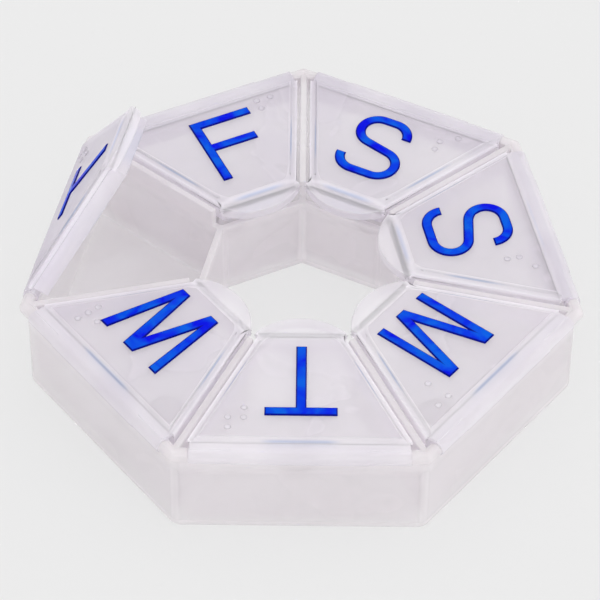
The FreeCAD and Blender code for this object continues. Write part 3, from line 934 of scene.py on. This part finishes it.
@dataclass
class Lid(Moulding):
    """One lid: rim, thumb tab with a lip, plateau, plug skirt, barrel and dots.

    Attributes:
        day: Whose lid it is.
        number: Its place round the ring.
        plastic: Its plastic.
        open_degrees: How far it is open.
        dots_start: Where its braille starts, to the right of its middle.
        painted_shade: How much painted shade deepens its colour beyond the palest lid's.

    The other values are sizes in millimetres, but for counts, the skirt's share of haze and the
    mark "near" of a lid at the ring's side. Heights are those of the shut lid, a plan gives the
    inner and outer distances out and the gap to the dividers' middle planes.
    """

    day: Day
    number: int
    plastic: Material
    open_degrees: float = 0.0
    dots_start: float = 11.6
    painted_shade: float = 0.0
    rim_bottom: float = 23.15
    rim_top: float = 24.15
    rim_gap: float = 1.45
    rim_end: float = 51.4
    tab_tip: float = 17.1
    tab_corner: Pair = (21.3, 9.6)
    tab_root: float = 22.357
    tab_steps: int = 28
    lip_drop: float = 1.15
    lip_thickness: float = 0.9
    plateau_foot: Triple = (21.04, 52.4, 2.5)
    plateau_top: Triple = (22.94, 51.17, 2.95)
    plateau_rise: float = 0.6
    plateau_round: float = 0.45
    foot_round: float = 0.4
    corner_round: float = 1.3
    skirt_plan: Triple = (21.707, 51.2, 1.75)
    skirt_depth: float = 3.65
    skirt_wall: float = 1.2
    skirt_haze: float = 0.3
    side_near: float = 0.5
    edge_width: float = 0.22
    hollow_top: float = 23.75
    barrel_radius: float = 1.7
    barrel_half: float = 22.6
    barrel_reach: float = 0.22
    swell_rise: float = 0.15
    swell_half: float = 14.0
    swell_taper: float = 0.35
    pin_radius: float = 0.65
    pin_length: float = 1.5
    pin_chamfer: float = 0.2
    dot_radius: float = 0.72
    dot_height: float = 0.13
    dot_out: float = 48.3
    dot_pitch: float = 2.65
    dot_cell: float = 3.3
    dot_rows: int = 3

    def build(self) -> Object:
        """Makes the lid.

        Returns:
            The finished lid, standing for its solid.
        """
        shape = bmesh.new()
        self.plate(shape)
        self.plateau(shape)
        self.skirt(shape)
        self.lip(shape)
        self.face_out(shape)
        self.barrel(shape)
        self.braille(shape)
        self.lay_plan(shape)
        self.mark(shape)
        place = PLAN.turn(self.number) @ PLAN.opened(math.radians(self.open_degrees))
        piece = self.finish(shape, f"{self.day.label}_flip_lid", place, self.plastic,
                            self.edge_width)
        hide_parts(f"lid_{self.day.label}")
        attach(piece, f"{self.day.label}_lid")
        return piece

    def mark(self, shape: BMesh) -> None:
        """Marks where the lid is thick, how near its side is to the front, and its painted shade.

        All of it is thick but the plateau and the skirt.
        """
        layers = shape.verts.layers.float
        for name in ("thick", "near", "painted_shade"):
            layers.new(name)
        thick, near, painted_shade = (layers[name] for name in ("thick", "near", "painted_shade"))
        toward = -(PLAN.turn(self.number) @ Vector((1, 0, 0))).y
        for vert in shape.verts:
            height = vert.co.z
            thin = (abs(height - self.rim_top - self.plateau_rise) < WELD
                    or abs(height - self.hollow_top) < WELD)
            skirt = height < self.rim_bottom - self.lip_drop - WELD
            vert[thick] = 0.0 if thin else self.skirt_haze if skirt else 1.0
            vert[near] = min(max(toward + self.side_near, 0.0), 1.0)
            # Painted shade, one amount for the whole lid.
            vert[painted_shade] = self.painted_shade

    @property
    def tab_arc(self) -> Pair:
        """The thumb tab's radius and its centre's distance out."""
        depth = self.tab_corner[0] - self.tab_tip
        radius = (self.tab_corner[1] ** 2 + depth ** 2) / (2 * depth)
        return radius, self.tab_tip + radius

    def plate(self, shape: BMesh) -> None:
        """Makes the flat rim with its thumb tab and the tongue to the barrel."""
        radius, centre = self.tab_arc
        sweep = 2 * math.asin(self.tab_corner[1] / radius)
        first = shape.verts.new((self.tab_corner[0], -self.tab_corner[1], self.rim_bottom))
        bmesh.ops.spin(shape, geom=[first], cent=(centre, 0, self.rim_bottom), axis=(0, 0, 1),
                       angle=-sweep, steps=self.tab_steps)
        corners = [(self.tab_root, PLAN.beside(self.tab_root, self.rim_gap)),
                   (self.rim_end, PLAN.beside(self.rim_end, self.rim_gap)),
                   (self.rim_end, self.barrel_half), (PLAN.hinge_out, self.barrel_half)]
        for out, side in corners:
            shape.verts.new((out, side, self.rim_bottom))
        for out, side in corners[::-1]:
            shape.verts.new((out, -side, self.rim_bottom))
        base = shape.faces.new(shape.verts)
        self.raise_faces(shape, [base], self.rim_top - self.rim_bottom)

    def region(self, shape: BMesh, plan: Triple, height: float, up: bool) -> list[BMFace]:
        """Cuts a wedge-shaped region out of a flat face.

        Args:
            shape: The mesh.
            plan: The wedge's inner and outer distances out and its gap to the dividers.
            height: The face's height.
            up: Whether the face looks up.

        Returns:
            The faces inside the wedge.
        """
        inner, outer, gap = plan

        def flat(mid: Vector, normal: Vector) -> bool:
            """Says whether a face is part of the flat one."""
            level = abs(mid.z - height) < WELD and abs(normal.z) > LEVEL
            return level and (normal.z > 0) == up

        self.face_out(shape)
        self.cut_across(shape, self.faces(shape, flat), inner)
        beyond = self.faces(shape, lambda mid, normal: flat(mid, normal) and mid.x > inner)
        self.cut_across(shape, beyond, outer)
        for sign in (-1, 1):
            within = self.faces(shape, lambda mid, normal: flat(mid, normal)
                                and inner < mid.x < outer)
            normal = PLAN.side_normal(sign)
            self.cut(shape, within, -gap * normal, normal)
        return self.faces(shape, lambda mid, normal: flat(mid, normal)
                          and inner < mid.x < outer and PLAN.gap(mid) > gap)

    def plateau(self, shape: BMesh) -> None:
        """Raises the plateau and rounds its edge."""
        base = self.region(shape, self.plateau_foot, self.rim_top, True)
        top = self.raise_faces(shape, base, self.plateau_rise)
        middle = (self.plateau_foot[0] + self.plateau_foot[1]) / 2
        inner, outer, gap = self.plateau_top
        for vert in dict.fromkeys(vert for face in top for vert in face.verts):
            out = inner if vert.co.x < middle else outer
            side = math.copysign(PLAN.beside(out, gap), vert.co.y)
            bmesh.ops.translate(shape, verts=[vert],
                                vec=Vector((out, side, vert.co.z)) - vert.co)
        corners = [edge for edge in shape.edges if self.is_inner_corner(edge)]
        self.round_off(shape, corners, self.corner_round, steps=5)
        level = self.rim_top + self.plateau_rise
        top = self.faces(shape, lambda mid, normal: normal.z > LEVEL and abs(mid.z - level) < WELD)
        self.round_off(shape, self.edges_of(top), self.plateau_round, steps=4)
        shape.normal_update()
        foot = [edge for edge in shape.edges if self.is_foot(edge)]
        self.round_off(shape, foot, self.foot_round, steps=4)

    def is_inner_corner(self, edge: BMEdge) -> bool:
        """Says whether an edge runs up one of the plateau's two corners at the thumb tab."""
        low, high = sorted(vert.co.z for vert in edge.verts)
        level = self.rim_top + self.plateau_rise
        inner = max(vert.co.x for vert in edge.verts) < self.plateau_top[0] + WELD
        return inner and abs(low - self.rim_top) < WELD and abs(high - level) < WELD

    def is_foot(self, edge: BMEdge) -> bool:
        """Says whether an edge is where the plateau's inner bevels meet the rim."""
        level = all(abs(vert.co.z - self.rim_top) < WELD for vert in edge.verts)
        beyond = any(vert.co.x > self.plateau_foot[1] + WELD for vert in edge.verts)
        across = all(vert.co.x > self.plateau_foot[1] - WELD for vert in edge.verts)
        bend = len(edge.link_faces) == 2 and edge.calc_face_angle(0) > FOOT_BEND
        return level and bend and not beyond and not across and not edge.is_convex

    def skirt(self, shape: BMesh) -> None:
        """Draws the plug skirt down and hollows it."""
        base = self.region(shape, self.skirt_plan, self.rim_bottom, False)
        bottom = self.raise_faces(shape, base, -self.skirt_depth)
        bmesh.ops.inset_region(shape, faces=bottom, thickness=self.skirt_wall,
                               use_even_offset=True)
        self.raise_faces(shape, bottom,
                         self.hollow_top - self.rim_bottom + self.skirt_depth)

    def lip(self, shape: BMesh) -> None:
        """Draws down the lip along the thumb tab's arc."""
        self.face_out(shape)
        radius, centre = self.tab_arc
        under = self.faces(shape, lambda mid, normal: mid.x < self.skirt_plan[0]
                           and normal.z < -LEVEL and abs(mid.z - self.rim_bottom) < WELD)
        bmesh.ops.inset_region(shape, faces=under, thickness=self.lip_thickness,
                               use_even_offset=True)
        band = self.faces(shape, lambda mid, normal: normal.z < -LEVEL
                          and abs(mid.z - self.rim_bottom) < WELD
                          and mid.x < self.tab_corner[0]
                          and radius - self.lip_thickness
                          < math.hypot(mid.x - centre, mid.y) < radius)
        self.raise_faces(shape, band, -self.lip_drop)

    def barrel(self, shape: BMesh) -> None:
        """Turns the hinge barrel with its thicker middle, rounded ends and pins."""
        slim, thick = self.barrel_radius, self.barrel_radius + self.swell_rise
        end, pin = self.barrel_half + self.barrel_reach, self.pin_radius
        tip, chamfer = end + self.pin_length, self.pin_chamfer
        side = [(slim, self.swell_half + self.swell_taper), *self.rounded_end(slim, end, 1),
                (pin, end), (pin, tip - chamfer), (pin - chamfer, tip), (0.0, tip)]
        middle = [(thick, -self.swell_half), (thick, self.swell_half)]
        profile = [(radius, -along) for radius, along in side[::-1]] + middle + side
        self.lathe(shape, profile, steps=32)

    def braille(self, shape: BMesh) -> None:
        """Raises the domed dots of the day's braille cell."""
        for dot in self.day.dots:
            column, row = divmod(dot - 1, self.dot_rows)
            part = bmesh.new()
            bmesh.ops.create_uvsphere(part, u_segments=16, v_segments=10,
                                      radius=self.dot_radius)
            bmesh.ops.scale(part, verts=part.verts,
                            vec=(1, 1, self.dot_height / self.dot_radius))
            place = (self.dot_out - row * self.dot_pitch,
                     -(self.dots_start + column * self.dot_cell),
                     self.rim_top + self.plateau_rise)
            bmesh.ops.translate(part, verts=part.verts, vec=place)
            self.append(shape, part)


@dataclass
class Initial(Moulding):
    """The raised initial on a lid, with a rounded, glossy top.

    Attributes:
        day: Whose initial it is.
        ink: Its ink.
        round_width: Width of the rounding at its upper edge, in millimetres.
        round_steps: Facets of that rounding.
        underside_shade: How much of the rim's painted shade its underside has.
    """

    day: Day
    ink: Material
    round_width: float = 0.38
    round_steps: int = 3
    underside_shade: float = 0.3

    def build(self) -> Object:
        """Makes the initial.

        Returns:
            The finished initial, standing for its solid.
        """
        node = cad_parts[f"letter_{self.day.label}"]
        shape = bmesh.new()
        shape.from_mesh(node.data)
        bmesh.ops.scale(shape, verts=shape.verts, vec=(1 / MM, 1 / MM, 1 / MM))
        bmesh.ops.remove_doubles(shape, verts=shape.verts, dist=SEAM_WELD)
        bmesh.ops.dissolve_limit(shape, angle_limit=math.radians(1), verts=shape.verts,
                                 edges=shape.edges)
        self.face_out(shape)
        shape.normal_update()
        # Painted shade: the whole initial takes the ink's dark rim colour at first.
        rim = shape.verts.layers.float.new("rim")
        for vert in shape.verts:
            vert[rim] = 1.0
        top = max(shape.faces, key=lambda face: (round(face.calc_area(), 2), face.normal.z))
        self.round_off(shape, list(top.edges), self.round_width, self.round_steps)
        shape.normal_update()
        # The crown on top is cleared of the painted shade, and the underside keeps part of it.
        for way in (-1, 1):
            crown = max(shape.faces, key=lambda face: (way * face.normal.z > TILTED)
                        * face.calc_area())
            for vert in crown.verts:
                vert[rim] = 0.0 if way > 0 else self.underside_shade
        piece = self.finish(shape, f"{self.day.label}_initial", Matrix.Identity(4), self.ink)
        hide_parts(f"letter_{self.day.label}")
        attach(piece, f"{self.day.label}_lid")
        return piece


@dataclass
class Studio:
    """The pale floor, the soft light and the camera, in metres, radians and watts."""

    elevation: float = math.radians(46.79)
    distance: float = 0.7573
    side_shift: float = -0.00032
    rise: float = 0.00787
    roll: float = 0.0112
    lens: float = 206.95
    floor_size: float = 6.0
    floor_drop: float = 0.0002
    floor_colour: Triple = (0.831, 0.831, 0.831)
    floor_glow: float = 0.75
    world_strength: float = 1.0
    right_light: float = 0.22
    front_light: float = 0.2
    lamp_energy: float = 1.0
    lamp_size: float = 0.9
    lamp_place: Triple = (-0.2, 0.5, 1.1)
    lamp_turn: Triple = (math.radians(-24), math.radians(-10), 0)
    light_bounces: int = 24
    clear_layers: int = 48

    def build(self) -> None:
        """Sets the view and makes the floor, the light and the camera."""
        bpy.context.scene.view_settings.view_transform = "Standard"
        self.light_paths()
        self.floor()
        self.lights()
        self.camera()

    def light_paths(self) -> None:
        """Lets light cross as many layers of the see-through plastic as it meets."""
        cycles = bpy.context.scene.cycles
        for kind in ("max", "diffuse", "glossy", "transmission"):
            setattr(cycles, f"{kind}_bounces", self.light_bounces)
        cycles.transparent_max_bounces = self.clear_layers

    def camera(self) -> None:
        """Places the camera at the product view."""
        forward = Vector((0, math.cos(self.elevation), -math.sin(self.elevation)))
        right = Vector((1, 0, 0))
        up = Vector((0, math.sin(self.elevation), math.cos(self.elevation)))
        place = -forward * self.distance + right * self.side_shift + up * self.rise
        data = bpy.data.cameras.new("camera")
        data.lens = self.lens
        data.sensor_width = 36.0
        data.clip_start = 0.01
        data.clip_end = 50.0
        camera = bpy.data.objects.new("camera", data)
        show(camera)
        rolled_right = right * math.cos(self.roll) + up * math.sin(self.roll)
        rolled_up = up * math.cos(self.roll) - right * math.sin(self.roll)
        turn = Matrix((rolled_right, rolled_up, -forward)).transposed()
        camera.matrix_world = Matrix.Translation(place) @ turn.to_4x4()
        bpy.context.scene.camera = camera

    def floor(self) -> None:
        """Makes the floor, which keeps the object's shadow."""
        mesh = bpy.data.meshes.new("floor")
        shape = bmesh.new()
        bmesh.ops.create_grid(shape, x_segments=1, y_segments=1, size=self.floor_size / 2)
        bmesh.ops.translate(shape, verts=shape.verts, vec=(0, 0, -self.floor_drop))
        shape.to_mesh(mesh)
        shape.free()
        material, kit, shader = new_material("floor")
        kit.set(shader, Base_Color=(*self.floor_colour, 1.0), Roughness=1.0,
                Specular_IOR_Level=0.0)
        glow = kit.add("ShaderNodeEmission")
        kit.set(glow, Color=(*self.floor_colour, 1.0), Strength=1.0)
        path = kit.add("ShaderNodeLightPath").outputs
        seen = kit.math("MAXIMUM", path["Is Glossy Ray"], path["Is Transmission Ray"])
        seen = kit.math("MAXIMUM", path["Is Camera Ray"], seen)
        blend = kit.add("ShaderNodeMixShader")
        kit.join(kit.math("MULTIPLY", seen, self.floor_glow), blend.inputs[0])
        kit.join(shader.outputs["BSDF"], blend.inputs[1])
        kit.join(glow.outputs["Emission"], blend.inputs[2])
        kit.join(blend.outputs[0], material.node_tree.nodes["Material Output"].inputs["Surface"])
        mesh.materials.append(material)
        floor = bpy.data.objects.new("floor", mesh)
        show(floor)

    def lights(self) -> None:
        """Makes the soft light from all round and the large lamp overhead."""
        world = bpy.data.worlds.new("studio")
        bpy.context.scene.world = world
        world.use_nodes = True
        background = world.node_tree.nodes["Background"]
        background.inputs["Color"].default_value = (1, 1, 1, 1)
        kit = NodeKit(world.node_tree)
        way = kit.parts(kit.add("ShaderNodeTexCoord").outputs["Generated"])
        light = kit.math("MULTIPLY_ADD", way["X"], self.right_light, self.world_strength)
        light = kit.math("MULTIPLY_ADD", way["Y"], -self.front_light, light)
        kit.join(light, background.inputs["Strength"])
        lamp = bpy.data.lights.new("overhead", "AREA")
        lamp.size = self.lamp_size
        lamp.energy = self.lamp_energy
        overhead = bpy.data.objects.new("overhead", lamp)
        overhead.location = self.lamp_place
        overhead.rotation_euler = self.lamp_turn
        show(overhead)


def main() -> None:
    """Builds the pieces in order and reports each."""
    logging.basicConfig(level=logging.INFO, format="%(message)s")
    tray = MilkyPlastic(Body.TRAY, pale=(0.925, 0.898, 0.918), deep=(0.84, 0.808, 0.825),
                        rim=(0.925, 0.9, 0.915), haze_clear=0.3, haze_cloudy=0.38,
                        hole_painted_light=1.0).build()
    lid = MilkyPlastic(Body.LID, pale=(0.935, 0.908, 0.945), deep=(0.8, 0.765, 0.83),
                       rim=(0.94, 0.918, 0.948), painted_sheen=0.35, glint_share=0.75,
                       crevice_share=0.9, painted_glow=0.17).build()
    ink = GlossyInk("letter_ink", bright=(0.001, 0.11, 0.74), deep=(0.0006, 0.004, 0.74),
                    rim=(0.0006, 0.004, 0.25)).build()
    Tray(tray).build()
    for number, day in enumerate(Day):
        opening = OPEN_DEGREES if day is Day.THURSDAY else 0.0
        start = SUNDAY_DOTS if day is Day.SUNDAY else Lid.dots_start
        Lid(day, number, lid, opening, start, LID_PAINTED_SHADE[day]).build()
        Initial(day, ink).build()
    Studio().build()


if __name__ == "__main__":
    main()
